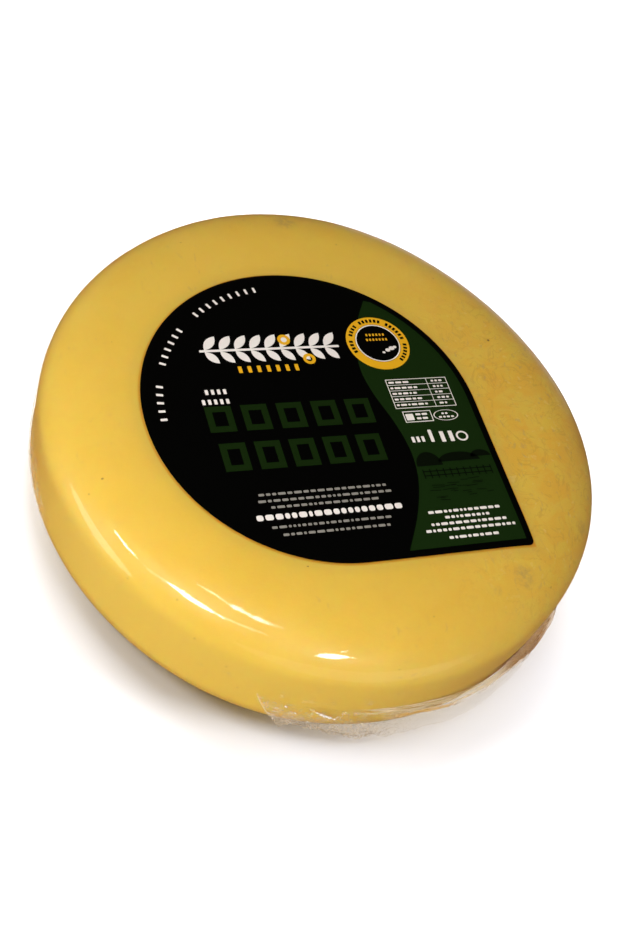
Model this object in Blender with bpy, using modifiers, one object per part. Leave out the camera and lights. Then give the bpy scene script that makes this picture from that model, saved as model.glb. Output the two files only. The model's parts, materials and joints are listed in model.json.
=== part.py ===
"""A whole wheel of kashar cheese, sealed in clear film, with a drop-shaped label on its top.

Metres, +Z up. The origin is on the wheel's axis at its base, and +X is the way the label reads.
"""

import math

import bmesh
import bpy
from mathutils import Vector

# The wheel: a low turned form with soft shoulders, as it comes out of a round mould
WHEEL_RADIUS = 0.081
WHEEL_HEIGHT = 0.0478
SHOULDER_WIDTH = 0.0219
SHOULDER_DROP = 0.0186
SHOULDER_POWER = 2.42
FOOT_WIDTH = 0.0178
FOOT_RISE = 0.0146
FOOT_POWER = 2.19
WHEEL_SEGMENTS = 96
SHOULDER_STEPS = 10
FOOT_STEPS = 9

# How far the wheel is out of round: lobes round the rim, their height, and the way one points
LOBES = (
    (2, 0.00115, math.radians(-50)),
    (3, 0.00040, math.radians(-29)),
    (4, 0.00048, math.radians(-15)),
)

# The label: a circle whose lower right quarter is squared off to a corner
LABEL_RADIUS = 0.04915
LABEL_CENTRE = Vector((-0.0077, -0.0029))
LABEL_CORNER_RADIUS = 0.0015
LABEL_THICKNESS = 0.0003
LABEL_GAP = 0.0003
LABEL_ARC_STEPS = 60
LABEL_RINGS = (0.25, 0.5, 0.7, 0.84, 0.93, 1.0)

# The film's sealed end: a loose, pleated skirt round the near side of the foot. Its upper edge is
# where the film leaves the wheel, and its lower edge starts further round, which makes the ear.
SEAL_THICKNESS = 0.0004
SEAL_CLEARANCE = 0.0005
SEAL_UPPER_START = math.radians(-121)
SEAL_LOWER_START = math.radians(-110)
SEAL_END = math.radians(-34)
SEAL_TOP = 0.0205
SEAL_BOTTOM = 0.0016
SEAL_COLUMNS = 72
SEAL_ROWS = 9
SEAL_STAND_OFF = 0.0046
SEAL_PLEAT = 0.0008
EAR_SHARE = 0.055
EAR_TUCK = 0.0020
NOTCH_TUCK = 0.0040
NOTCH_RISE = 0.0026

SMALLEST_MERGE = 0.00001


def clear_scene():
    for thing in list(bpy.data.objects):
        bpy.data.objects.remove(thing, do_unlink=True)


def new_collection(name):
    collection = bpy.data.collections.new(name)
    bpy.context.scene.collection.children.link(collection)
    return collection


def new_object(name, mesh, material, collection):
    made = bpy.data.objects.new(name, mesh)
    mesh.materials.append(material)
    collection.objects.link(made)
    return made


def principled(name, colour, roughness, metallic=0.0, alpha=1.0, coat=0.0):
    material = bpy.data.materials.new(name)
    material.use_nodes = True
    shader = material.node_tree.nodes["Principled BSDF"]
    shader.inputs["Base Color"].default_value = (*colour, 1.0)
    shader.inputs["Roughness"].default_value = roughness
    shader.inputs["Metallic"].default_value = metallic
    shader.inputs["Alpha"].default_value = alpha
    shader.inputs["Coat Weight"].default_value = coat
    return material


def out_of_round(angle):
    """How much wider or narrower the wheel is in this direction, as a factor."""
    lobes = sum(height * math.cos(count * (angle - way)) for count, height, way in LOBES)
    return 1 + lobes / WHEEL_RADIUS


def rounding(share, power):
    """A superellipse's height, 1 to 0, at this share of its width."""
    return (1 - min(max(share, 0.0), 1.0) ** power) ** (1 / power)


def top_height(x, y):
    """The height of the wheel's upper side over a point of its plan."""
    turned = math.hypot(x, y) / out_of_round(math.atan2(y, x))
    share = (turned - WHEEL_RADIUS + SHOULDER_WIDTH) / SHOULDER_WIDTH
    return WHEEL_HEIGHT - SHOULDER_DROP + SHOULDER_DROP * rounding(share, SHOULDER_POWER)


def side_radius(z, angle):
    """The wheel's radius at a height on its lower half."""
    share = (FOOT_RISE - z) / FOOT_RISE
    turned = WHEEL_RADIUS - FOOT_WIDTH + FOOT_WIDTH * rounding(share, FOOT_POWER)
    return turned * out_of_round(angle)


def wheel_profile():
    """Half of the wheel's section, from the middle of its top down to the middle of its base."""
    points = [(0.0, WHEEL_HEIGHT)]
    for step in range(SHOULDER_STEPS + 1):
        turn = 0.5 * math.pi * (1 - step / SHOULDER_STEPS)
        across = math.cos(turn) ** (2 / SHOULDER_POWER)
        up = math.sin(turn) ** (2 / SHOULDER_POWER)
        points.append(
            (
                WHEEL_RADIUS - SHOULDER_WIDTH + SHOULDER_WIDTH * across,
                WHEEL_HEIGHT - SHOULDER_DROP + SHOULDER_DROP * up,
            )
        )
    for step in range(FOOT_STEPS + 1):
        turn = 0.5 * math.pi * step / FOOT_STEPS
        across = math.cos(turn) ** (2 / FOOT_POWER)
        down = math.sin(turn) ** (2 / FOOT_POWER)
        points.append(
            (
                WHEEL_RADIUS - FOOT_WIDTH + FOOT_WIDTH * across,
                FOOT_RISE - FOOT_RISE * down,
            )
        )
    points.append((0.0, 0.0))
    return points


def make_wheel(collection):
    mesh = bpy.data.meshes.new("cheese_wheel")
    points = wheel_profile()
    edges = [(index, index + 1) for index in range(len(points) - 1)]
    mesh.from_pydata([(x, 0.0, z) for x, z in points], edges, [])
    cheese = principled("cheese", (0.83, 0.53, 0.085), 0.35, coat=0.6)
    wheel = new_object("cheese_wheel", mesh, cheese, collection)

    screw = wheel.modifiers.new("turn", "SCREW")
    screw.axis = "Z"
    screw.angle = 2 * math.pi
    screw.steps = WHEEL_SEGMENTS
    screw.render_steps = WHEEL_SEGMENTS
    screw.use_merge_vertices = True
    screw.merge_threshold = SMALLEST_MERGE
    screw.use_smooth_shade = True

    # The turned form becomes a mesh, so that its plan can leave the true circle.
    graph = bpy.context.evaluated_depsgraph_get()
    turned = bpy.data.meshes.new_from_object(wheel.evaluated_get(graph))
    wheel.modifiers.clear()
    wheel.data = turned
    turned.name = "cheese_wheel"
    for vertex in turned.vertices:
        scale = out_of_round(math.atan2(vertex.co.y, vertex.co.x))
        vertex.co.x *= scale
        vertex.co.y *= scale
    return wheel


def label_outline():
    """The drop's edge round its own circle's centre, anticlockwise."""
    points = []
    for step in range(LABEL_ARC_STEPS + 1):
        turn = 1.5 * math.pi * step / LABEL_ARC_STEPS
        points.append(Vector((math.cos(turn), math.sin(turn))) * LABEL_RADIUS)
    inner = LABEL_RADIUS - LABEL_CORNER_RADIUS
    for share in (0.35, 0.7):
        points.append(Vector((inner * share, -LABEL_RADIUS)))
    for step in range(5):
        turn = 0.5 * math.pi * (step / 4 - 1)
        corner = Vector((math.cos(turn), math.sin(turn))) * LABEL_CORNER_RADIUS
        points.append(Vector((inner, -inner)) + corner)
    for share in (0.7, 0.35):
        points.append(Vector((LABEL_RADIUS, -inner * share)))
    return points


def make_label(collection):
    """A thin sheet that lies on the wheel's top and bends with it towards the shoulder."""
    outline = label_outline()
    shape = bmesh.new()

    def lay(point):
        x, y = LABEL_CENTRE + point
        return shape.verts.new((x, y, top_height(x, y) + LABEL_GAP))

    middle = lay(Vector((0.0, 0.0)))
    inside = None
    for ring in LABEL_RINGS:
        verts = [lay(point * ring) for point in outline]
        count = len(verts)
        for index in range(count):
            after = (index + 1) % count
            if inside is None:
                shape.faces.new((middle, verts[index], verts[after]))
            else:
                shape.faces.new((inside[index], verts[index], verts[after], inside[after]))
        inside = verts
    mesh = bpy.data.meshes.new("label")
    shape.to_mesh(mesh)
    shape.free()

    print_black = principled("label", (0.004, 0.005, 0.004), 0.3)
    label = new_object("label", mesh, print_black, collection)
    solidify = label.modifiers.new("thickness", "SOLIDIFY")
    solidify.thickness = LABEL_THICKNESS
    solidify.offset = 1.0
    return label


def bell(share, middle, width):
    return math.exp(-(((share - middle) / width) ** 2))


def seal_stand_off(share):
    """How far the skirt's lower edge stands outside the wheel's widest line, along its length."""
    pocket = SEAL_STAND_OFF * bell(share, 0.78, 0.24)
    skirt = 0.0012 * bell(share, 0.24, 0.13)
    ear = EAR_TUCK * (1 - min(share / EAR_SHARE, 1.0))
    notch = NOTCH_TUCK * bell(share, 0.1, 0.04)
    return pocket + skirt - ear - notch


def seal_bottom(share):
    """The height of the skirt's lower edge: up at the notch behind the ear, and at its far end."""
    notch = NOTCH_RISE * bell(share, 0.1, 0.04)
    rise = 0.0075 * max(share - 0.62, 0.0) / 0.38
    ripple = 0.0003 * (1 + math.sin(41 * share))
    return SEAL_BOTTOM + notch + rise + ripple


def seal_point(along, down):
    """A point of the skirt: along it from the ear, 0 to 1, and down it, 0 to 1."""
    start = SEAL_UPPER_START + (SEAL_LOWER_START - SEAL_UPPER_START) * down
    angle = start + (SEAL_END - start) * along
    z = SEAL_TOP + (seal_bottom(along) - SEAL_TOP) * down
    pleats = math.sin(46 * along + 3 * math.sin(9 * along) + 3 * down) + 0.5 * math.sin(71 * along)
    fade = math.sin(math.pi * min(max(along, 0.0), 1.0)) ** 0.5
    hang = WHEEL_RADIUS * out_of_round(angle)
    hang += seal_stand_off(along) * down**0.8 + SEAL_PLEAT * pleats * down * fade
    radius = max(hang, side_radius(z, angle) + SEAL_CLEARANCE)
    return Vector((radius * math.cos(angle), radius * math.sin(angle), z))


def make_film_seal(collection):
    shape = bmesh.new()
    rows = []
    for row in range(SEAL_ROWS):
        down = row / (SEAL_ROWS - 1)
        points = (seal_point(column / SEAL_COLUMNS, down) for column in range(SEAL_COLUMNS + 1))
        rows.append([shape.verts.new(point) for point in points])
    for upper, lower in zip(rows, rows[1:]):
        for column in range(SEAL_COLUMNS):
            shape.faces.new((upper[column], lower[column], lower[column + 1], upper[column + 1]))
    mesh = bpy.data.meshes.new("film_seal")
    shape.to_mesh(mesh)
    shape.free()

    film = principled("film", (0.86, 0.84, 0.80), 0.15, alpha=0.4)
    seal = new_object("film_seal", mesh, film, collection)
    solidify = seal.modifiers.new("thickness", "SOLIDIFY")
    solidify.thickness = SEAL_THICKNESS
    solidify.offset = 1.0
    return seal


def main():
    clear_scene()
    cheese = new_collection("kashar_cheese")
    make_wheel(cheese)
    make_label(cheese)
    make_film_seal(cheese)


main()
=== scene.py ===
import json
import math
from functools import partialmethod

import bmesh
import bpy
import numpy as np
from mathutils import Matrix, Vector

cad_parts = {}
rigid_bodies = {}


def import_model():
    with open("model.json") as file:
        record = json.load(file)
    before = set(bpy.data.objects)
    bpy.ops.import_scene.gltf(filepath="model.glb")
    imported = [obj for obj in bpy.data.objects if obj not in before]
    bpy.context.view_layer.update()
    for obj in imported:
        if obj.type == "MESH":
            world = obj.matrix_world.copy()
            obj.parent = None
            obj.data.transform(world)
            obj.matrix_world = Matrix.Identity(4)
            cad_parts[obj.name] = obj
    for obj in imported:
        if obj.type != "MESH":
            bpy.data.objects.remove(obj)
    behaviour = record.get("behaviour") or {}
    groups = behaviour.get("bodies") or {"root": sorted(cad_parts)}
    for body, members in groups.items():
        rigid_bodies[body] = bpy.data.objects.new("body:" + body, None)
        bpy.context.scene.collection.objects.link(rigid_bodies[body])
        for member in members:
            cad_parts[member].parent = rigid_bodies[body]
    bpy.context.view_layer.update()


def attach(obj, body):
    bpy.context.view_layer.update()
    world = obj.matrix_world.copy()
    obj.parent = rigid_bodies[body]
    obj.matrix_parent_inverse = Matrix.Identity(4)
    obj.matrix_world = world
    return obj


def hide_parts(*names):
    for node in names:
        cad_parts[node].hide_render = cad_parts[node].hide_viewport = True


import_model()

# A whole wheel of kashar cheese in clear shrink film, with a drop-shaped label.
# Metres, +Z up, +X the way the label reads, as in the CAD.

MM = 0.001

# The wheel's form, as the CAD has it
WHEEL_RADIUS = 0.081
WHEEL_HEIGHT = 0.0478
SHOULDER_WIDTH = 0.0219
SHOULDER_DROP = 0.0186
SHOULDER_POWER = 2.42
FOOT_WIDTH = 0.0178
FOOT_RISE = 0.0146
FOOT_POWER = 2.19
LOBES = (
    (2, 0.00115, math.radians(-50)),
    (3, 0.00040, math.radians(-29)),
    (4, 0.00048, math.radians(-15)),
)

# The label's form, as the CAD has it
LABEL_RADIUS = 0.04915
LABEL_CENTRE = Vector((-0.0077, -0.0029))
LABEL_CORNER_RADIUS = 0.0015

# Fineness: a step along the section, how many the flat top and base take at once, points along
# each rounding's curve, and segments round the axis
RING_STEP = 0.00075
TOP_STEPS = 2.5
BASE_STEPS = 6
CURVE_POINTS = 160
RING_SEGMENTS = 600


# Numbers and noise

def lerp(a, b, share):
    return a + (b - a) * share


def bell(value, middle, width):
    return np.exp(-(((value - middle) / width) ** 2))


def smooth(low, high, value):
    share = np.clip((value - low) / (high - low), 0, 1)
    return share * share * (3 - 2 * share)


def turn_gap(angle, middle):
    """The angle from middle, wrapped to the nearer way round, in degrees."""
    return (np.degrees(angle) - middle + 180) % 360 - 180


def smooth_noise(points, cell, seed):
    """Noise of about -1 to 1 that changes over one cell, at an array of points."""
    side = 64
    table = np.random.default_rng(seed).uniform(-1, 1, (side, side, side))
    place = np.asarray(points) / cell
    low = np.floor(place).astype(int)
    share = place - low
    share = share * share * (3 - 2 * share)
    total = 0.0
    for corner in range(8):
        step = np.array([corner & 1, corner >> 1 & 1, corner >> 2 & 1])
        at = (low + step) % side
        weight = np.where(step, share, 1 - share).prod(-1)
        total = total + table[at[..., 0], at[..., 1], at[..., 2]] * weight
    return total


# The turned form

def out_of_round(angle):
    """How much wider or narrower the wheel is in this direction, as a factor."""
    lobes = sum(height * np.cos(count * (angle - way)) for count, height, way in LOBES)
    return 1 + lobes / WHEEL_RADIUS


def rounding(share, power):
    """A superellipse's height, 1 to 0, at this share of its width."""
    return (1 - np.clip(share, 0, 1) ** power) ** (1 / power)


def top_height(x, y):
    """The height of the wheel's upper side over a point of its plan."""
    turned = np.hypot(x, y) / out_of_round(np.arctan2(y, x))
    share = (turned - WHEEL_RADIUS + SHOULDER_WIDTH) / SHOULDER_WIDTH
    return WHEEL_HEIGHT - SHOULDER_DROP + SHOULDER_DROP * rounding(share, SHOULDER_POWER)


def side_radius(z, angle):
    """The wheel's radius at a height on its lower half."""
    share = (FOOT_RISE - z) / FOOT_RISE
    turned = WHEEL_RADIUS - FOOT_WIDTH + FOOT_WIDTH * rounding(share, FOOT_POWER)
    return turned * out_of_round(angle)


def wall_point(azimuth, z):
    """A point of the wheel's wall or shoulder, by its azimuth in degrees and its height."""
    angle = math.radians(azimuth)
    share = max(z - WHEEL_HEIGHT + SHOULDER_DROP, 0) / SHOULDER_DROP
    turned = WHEEL_RADIUS - SHOULDER_WIDTH + SHOULDER_WIDTH * float(rounding(share, SHOULDER_POWER))
    radius = turned * out_of_round(angle)
    return Vector((radius * math.cos(angle), radius * math.sin(angle), z))


def section():
    """Half of the wheel's section, from top to base: radii, heights, and the normals' two shares."""
    turn = np.linspace(0.5 * math.pi, 0, CURVE_POINTS)
    across, up = np.cos(turn) ** (2 / SHOULDER_POWER), np.sin(turn) ** (2 / SHOULDER_POWER)
    shoulder_r = WHEEL_RADIUS - SHOULDER_WIDTH + SHOULDER_WIDTH * across
    shoulder_z = WHEEL_HEIGHT - SHOULDER_DROP + SHOULDER_DROP * up
    turn = np.linspace(0, 0.5 * math.pi, CURVE_POINTS)
    foot_r = WHEEL_RADIUS - FOOT_WIDTH + FOOT_WIDTH * np.cos(turn) ** (2 / FOOT_POWER)
    foot_z = FOOT_RISE - FOOT_RISE * np.sin(turn) ** (2 / FOOT_POWER)
    r = np.concatenate(([0.0], shoulder_r, foot_r, [0.0]))
    z = np.concatenate(([WHEEL_HEIGHT], shoulder_z, foot_z, [0.0]))
    run = np.concatenate(([0], np.cumsum(np.hypot(np.diff(r), np.diff(z)))))

    # Points stand a step apart round the shoulder, wall and foot, and wider apart on the flat sides
    step = RING_STEP
    top_end = WHEEL_RADIUS - SHOULDER_WIDTH
    base_start = run[-1] - (WHEEL_RADIUS - FOOT_WIDTH)
    on_top = int(top_end / (TOP_STEPS * step))
    on_side = int((base_start - top_end) / step)
    on_base = int((run[-1] - base_start) / (BASE_STEPS * step)) + 1
    place = np.concatenate([
        np.linspace(0, top_end, on_top, endpoint=False),
        np.linspace(top_end, base_start, on_side, endpoint=False),
        np.linspace(base_start, run[-1], on_base),
    ])
    dr = np.interp(place + 0.5 * step, run, r) - np.interp(place - 0.5 * step, run, r)
    dz = np.interp(place + 0.5 * step, run, z) - np.interp(place - 0.5 * step, run, z)
    length = np.hypot(dr, dz)
    return np.interp(place, run, r), np.interp(place, run, z), -dz / length, dr / length


def turned_points():
    """The wheel's points and outward normals, by rings and segments, and the segments' angles."""
    r, z, out, up = section()
    angle = np.linspace(-math.pi, math.pi, RING_SEGMENTS, endpoint=False)
    radius = r[:, None] * out_of_round(angle)
    level = 0 * radius
    points = np.stack([radius * np.cos(angle), radius * np.sin(angle), z[:, None] + level], -1)
    out = out[:, None]
    normals = np.stack([out * np.cos(angle), out * np.sin(angle), up[:, None] + level], -1)
    return points, normals, angle


# Meshes and pieces

def smooth_mesh(name, points, faces):
    """A smooth-shaded mesh of an array of points, without the points that no face uses."""
    mesh = bpy.data.meshes.new(name)
    mesh.from_pydata(points.reshape(-1, 3).tolist(), [], faces)
    shape = bmesh.new()
    shape.from_mesh(mesh)
    loose = [vert for vert in shape.verts if not vert.link_faces]
    bmesh.ops.delete(shape, geom=loose, context="VERTS")
    shape.to_mesh(mesh)
    shape.free()
    mesh.polygons.foreach_set("use_smooth", [True] * len(mesh.polygons))
    mesh.update()
    return mesh


def turned_mesh(name, points):
    """A mesh over closed rings of points. The first ring and the last are one point each."""
    rings, count = points.shape[:2]
    after = [(k + 1) % count for k in range(count)]
    faces = []
    for ring in range(1, rings - 2):
        a, b = ring * count, (ring + 1) * count
        faces += [(a + k, b + k, b + after[k], a + after[k]) for k in range(count)]
    last, end = (rings - 2) * count, (rings - 1) * count
    for k in range(count):
        faces.append((0, count + k, count + after[k]))
        faces.append((end, last + after[k], last + k))
    return smooth_mesh(name, points, faces)


def sheet_mesh(name, points, across, down):
    """A mesh over open rows of points, whose UV map holds each point's two shares."""
    rows, columns = points.shape[:2]
    faces = []
    for row in range(rows - 1):
        a, b = row * columns, (row + 1) * columns
        faces += [(a + k, b + k, b + k + 1, a + k + 1) for k in range(columns - 1)]
    mesh = smooth_mesh(name, points, faces)
    layer = mesh.uv_layers.new(name="place")
    corners = np.empty(len(mesh.loops), dtype=np.int64)
    mesh.loops.foreach_get("vertex_index", corners)
    both = np.stack([across.reshape(-1)[corners], down.reshape(-1)[corners]], -1)
    layer.data.foreach_set("uv", both.reshape(-1).astype(np.float32))
    return mesh


def add_piece(name, mesh, material):
    piece = bpy.data.objects.new(name, mesh)
    bpy.context.scene.collection.objects.link(piece)
    mesh.materials.append(material)
    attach(piece, "root")
    return piece


def thicken(piece, thickness):
    solidify = piece.modifiers.new("thickness", "SOLIDIFY")
    solidify.thickness = thickness
    solidify.offset = 1.0


# Node helpers

class Nodes:
    """A material's node tree, with short ways to add to it."""

    def __init__(self, name):
        self.material = bpy.data.materials.new(name)
        self.material.use_nodes = True
        self.tree = self.material.node_tree
        self.tree.nodes.clear()
        self.output = self.tree.nodes.new("ShaderNodeOutputMaterial")

    def add(self, kind, inputs=None, **settings):
        """A new node. An input is a number, a colour or another node's output."""
        node = self.tree.nodes.new(kind)
        for key, value in settings.items():
            setattr(node, key, value)
        for key, value in (inputs or {}).items():
            if isinstance(value, bpy.types.NodeSocket):
                self.tree.links.new(value, node.inputs[key])
            else:
                node.inputs[key].default_value = value
        return node

    def place(self):
        return self.add("ShaderNodeTexCoord").outputs["Object"]

    def sheet_place(self):
        """The two shares that a sheet's mesh holds for each point."""
        place = self.add("ShaderNodeTexCoord").outputs["UV"]
        split = self.add("ShaderNodeSeparateXYZ", {"Vector": place})
        return split.outputs["X"], split.outputs["Y"]

    def joined(self, x, y, scale):
        """A vector of two numbers, each times its scale."""
        both = self.add("ShaderNodeCombineXYZ", {"X": x, "Y": y}).outputs[0]
        return self.add("ShaderNodeMapping", {"Vector": both, "Scale": (*scale, 1.0)}).outputs[0]

    def stretched(self, scale):
        return self.add("ShaderNodeMapping", {"Vector": self.place(), "Scale": scale}).outputs[0]

    def gap(self, vector, point):
        """How far a point lies from a vector."""
        node = self.add("ShaderNodeVectorMath", {0: vector, 1: point}, operation="DISTANCE")
        return node.outputs["Value"]

    def spot(self, point, inner, outer):
        """One within the inner distance of a point, and none beyond the outer."""
        return self.ramp(self.gap(self.place(), point), outer, inner)

    def noise(self, cell, detail=2.0, rough=0.5, vector=None, distortion=0.0):
        inputs = {"Vector": self.place() if vector is None else vector, "Scale": 1 / cell}
        inputs.update({"Detail": detail, "Roughness": rough, "Distortion": distortion})
        return self.add("ShaderNodeTexNoise", inputs).outputs["Fac"]

    def ramp(self, value, low, high, out_low=0.0, out_high=1.0):
        inputs = {"Value": value, "From Min": low, "From Max": high}
        inputs.update({"To Min": out_low, "To Max": out_high})
        node = self.add("ShaderNodeMapRange", inputs, interpolation_type="SMOOTHSTEP")
        return node.outputs["Result"]

    def math(self, operation, first, *others):
        """The operation on the first value and each of the others in turn."""
        for other in others or (0.0,):
            first = self.add("ShaderNodeMath", {0: first, 1: other}, operation=operation).outputs[0]
        return first

    times = partialmethod(math, "MULTIPLY")
    plus = partialmethod(math, "ADD")
    minus = partialmethod(math, "SUBTRACT")
    most = partialmethod(math, "MAXIMUM")

    def off_middle(self, noise):
        """How far a noise is from its middle value, which is small along thin lines."""
        return self.math("ABSOLUTE", self.minus(noise, 0.5))

    def blend(self, share, a, b):
        """Mix two colours by a share."""
        return self.add("ShaderNodeMix", {0: share, 6: a, 7: b}, data_type="RGBA").outputs[2]

    def facing(self, **inputs):
        """None where the surface faces the viewer, rising to one where it turns away."""
        return self.add("ShaderNodeLayerWeight", {"Blend": 0.5, **inputs}).outputs["Facing"]

    def bump(self, height, distance, strength=1.0):
        inputs = {"Height": height, "Distance": distance, "Strength": strength}
        return self.add("ShaderNodeBump", inputs).outputs["Normal"]

    def surface(self, shader):
        self.tree.links.new(shader, self.output.inputs["Surface"])
        return self.material

    def solid(self, base, roughness, shine, **others):
        """The material of a solid surface. An underscore stands for a space in an input's name."""
        inputs = {"Base Color": base, "Roughness": roughness, "Specular IOR Level": shine}
        inputs.update({key.replace("_", " "): value for key, value in others.items()})
        return self.surface(self.add("ShaderNodeBsdfPrincipled", inputs).outputs[0])


def colour(red, green, blue):
    """A screen colour, 0 to 255, as the linear one that a shader takes."""
    shares = [value / 255 for value in (red, green, blue)]
    linear = [((c + 0.055) / 1.055) ** 2.4 if c > 0.0393 else c / 12.92 for c in shares]
    return (*linear, 1.0)


# The cheese's material

CHEESE_COLOUR = (0.795, 0.560, 0.080, 1.0)
CHEESE_PALE = (0.815, 0.585, 0.098, 1.0)
CHEESE_DEEP = (0.77, 0.51, 0.060, 1.0)
CHEESE_OLIVE = (0.76, 0.545, 0.075, 1.0)
CHEESE_ORANGE = (0.76, 0.455, 0.050, 1.0)
# Painted shade of the lower wall
CHEESE_WALL_SHADE = (0.745, 0.505, 0.077, 1.0)
# Painted shade at the edges that turn away
CHEESE_EDGE_SHADE = (0.56, 0.26, 0.020, 1.0)
VEIN = (0.58, 0.35, 0.055, 1.0)
CURD_MARK = (0.54, 0.36, 0.130, 1.0)
PALE_MARK = (0.84, 0.66, 0.22, 1.0)
PATCH = (0.50, 0.33, 0.10, 1.0)
# A thin deep orange line right at the label's edge
LABEL_EDGE_ORANGE = (0.72, 0.32, 0.020, 1.0)
# Painted shade round the label
LABEL_SHADE = (0.66, 0.46, 0.090, 1.0)
SPECK = (0.16, 0.07, 0.02, 1.0)

# How large the cheese's marks are, in metres
BODY_CELL = 0.012
BROAD_CELL = 0.030
MOTTLE_CELL = 0.0075
VEIN_CELL = 0.008
FLECK_CELL = 0.0021
CURD_CELL = 0.0016
SPECK_CELL = 0.0011
GRAIN_CELL = 0.0012

# The mottled right side: its middle, and how far round it is full and how far it reaches
MOTTLED_MIDDLE = (0.070, -0.020, 0.035)
MOTTLED_FULL = 0.030
MOTTLED_REACH = 0.090

# Heights between which the lower wall's painted shade takes over from the top's colour, and the
# label's painted shade ends
WALL_SHADE_HEIGHTS = (0.0355, 0.0315)
TOP_ONLY_HEIGHTS = (0.020, 0.030)

# Small dark specks, and larger grey-brown patches: x, y, z and size in millimetres
SPECKS = (
    (-67.3, -42.1, 34.7, 0.45), (-53.3, -59.5, 32.0, 0.40), (-57.6, -52.0, 39.4, 0.40),
    (-45.5, -66.1, 27.3, 0.40), (55.0, 19.0, 47.6, 0.55),
)
PATCHES = (
    (3.4, 69.2, 46.7, 5.0), (25.8, -64.1, 47.5, 2.2), (35.4, -60.5, 46.5, 4.5),
    (63.0, -46.5, 44.0, 4.5),
)


def nearest_spot(n, rows):
    """One at any of a few spots, each given in millimetres, and none away from them."""
    spots = [n.spot((x * MM, y * MM, z * MM), 0.25 * size * MM, size * MM) for x, y, z, size in rows]
    return n.most(*spots)


def label_gap(n):
    """How far outside the label's edge a point lies, in metres, and the point's height."""
    place = n.add("ShaderNodeSeparateXYZ", {"Vector": n.place()}).outputs
    x = n.minus(place["X"], LABEL_CENTRE.x)
    y = n.minus(place["Y"], LABEL_CENTRE.y)
    around = n.math("SQRT", n.plus(n.times(x, x), n.times(y, y)))
    square = n.most(x, n.times(y, -1.0))
    in_corner = n.times(n.math("GREATER_THAN", x, 0.0), n.math("LESS_THAN", y, 0.0))
    far = n.plus(around, n.times(in_corner, n.minus(square, around)))
    return n.minus(far, LABEL_RADIUS), place["Z"]


def mottled(n, body, right):
    """The right side: broad mottling, fine darker veins and small pale marks."""
    patch = n.ramp(n.noise(MOTTLE_CELL, 4, 0.6, distortion=0.8), 0.40, 0.60)
    body = n.blend(n.times(right, 0.70), body, n.blend(patch, CHEESE_ORANGE, CHEESE_OLIVE))
    line = n.off_middle(n.noise(VEIN_CELL, 3, 0.55, distortion=1.2))
    body = n.blend(n.times(right, n.ramp(line, 0.022, 0.002, 0, 0.42)), body, VEIN)
    fleck = n.ramp(n.noise(FLECK_CELL, 2, 0.5), 0.64, 0.72, 0, 0.42)
    return n.blend(n.times(right, fleck), body, PALE_MARK)


def curd_marked(n, body, right):
    """Short curd marks, thickest on the right and where a broad noise lets them be."""
    marks = n.noise(CURD_CELL, 3, 0.6, n.stretched((1.0, 0.45, 1.0)), 0.6)
    where = n.most(n.ramp(n.noise(0.022, 2, 0.5), 0.45, 0.62, 0, 0.6), right)
    body = n.blend(n.times(n.ramp(marks, 0.60, 0.70, 0, 0.50), where), body, CURD_MARK)
    cloudy = n.ramp(n.noise(0.0013, 3, 0.6), 0.35, 0.65, 0.1, 0.6)
    return n.blend(n.times(nearest_spot(n, PATCHES), cloudy), body, PATCH)


def shaded_by_place(n, body):
    """Painted shade on the lower wall, deeper and more orange. Round the label, a thin deep orange
    line in a dim band of painted shade that fades outwards.
    """
    gap, height = label_gap(n)
    # Painted shade: the lower wall deeper and more orange
    body = n.blend(n.ramp(height, *WALL_SHADE_HEIGHTS, 0, 0.9), body, CHEESE_WALL_SHADE)
    on_top = n.ramp(height, *TOP_ONLY_HEIGHTS)
    # Painted shade: a dim band round the label
    body = n.blend(n.times(on_top, n.ramp(gap, 0.0050, 0.0004, 0, 0.40)), body, LABEL_SHADE)
    # A thin deep orange line at the label's edge
    return n.blend(n.times(on_top, n.ramp(gap, 0.0008, 0.0003, 0, 0.85)), body, LABEL_EDGE_ORANGE)


def cheese_material():
    n = Nodes("kashar")
    body = n.blend(n.ramp(n.noise(BODY_CELL, 4, 0.6), 0.3, 0.7, 0, 0.7), CHEESE_COLOUR, CHEESE_PALE)
    broad = n.ramp(n.noise(BROAD_CELL, 3, 0.55), 0.35, 0.65)
    body = n.blend(n.times(broad, 0.35), body, CHEESE_DEEP)
    right = n.spot(MOTTLED_MIDDLE, MOTTLED_FULL, MOTTLED_REACH)
    body = mottled(n, body, right)
    body = curd_marked(n, body, right)
    body = shaded_by_place(n, body)
    # Painted shade: a deeper, browner colour where the surface turns away from the view
    body = n.blend(n.ramp(n.facing(), 0.54, 0.97, 0, 0.68), body, CHEESE_EDGE_SHADE)
    tiny = n.ramp(n.noise(SPECK_CELL, 0, 0.5), 0.885, 0.905, 0, 0.6)
    body = n.blend(n.most(tiny, nearest_spot(n, SPECKS)), body, SPECK)
    return n.solid(
        body, 0.38, 0.4,
        Subsurface_Weight=1.0,
        Subsurface_Radius=(1.0, 0.62, 0.25),
        Subsurface_Scale=0.0035,
        Normal=n.bump(n.noise(GRAIN_CELL, 3, 0.6), 0.0001, 0.35),
    )


# The film's materials

FILM_MILK = (0.98, 0.83, 0.64, 1.0)
FILM_PALE = (1.0, 0.85, 0.56, 1.0)
FILM_AMBER = (0.80, 0.50, 0.15, 1.0)
FILM_CREAM = (0.92, 0.76, 0.47, 1.0)
FILM_TAN = (0.74, 0.60, 0.43, 1.0)
# Colour of the painted glints
FILM_GLINT_WHITE = (1.0, 0.97, 0.90, 1.0)
FILM_CLEAR = (0.985, 0.98, 0.97, 1.0)
FILM_CLEAREST = (0.998, 0.996, 0.992, 1.0)
# Painted shade: the brown tint of the film over the shaded pocket
FILM_POCKET_SHADE = (0.69, 0.53, 0.35, 1.0)
TIGHT_SHINE = 0.030
LOOSE_SHINE = 0.012

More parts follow.
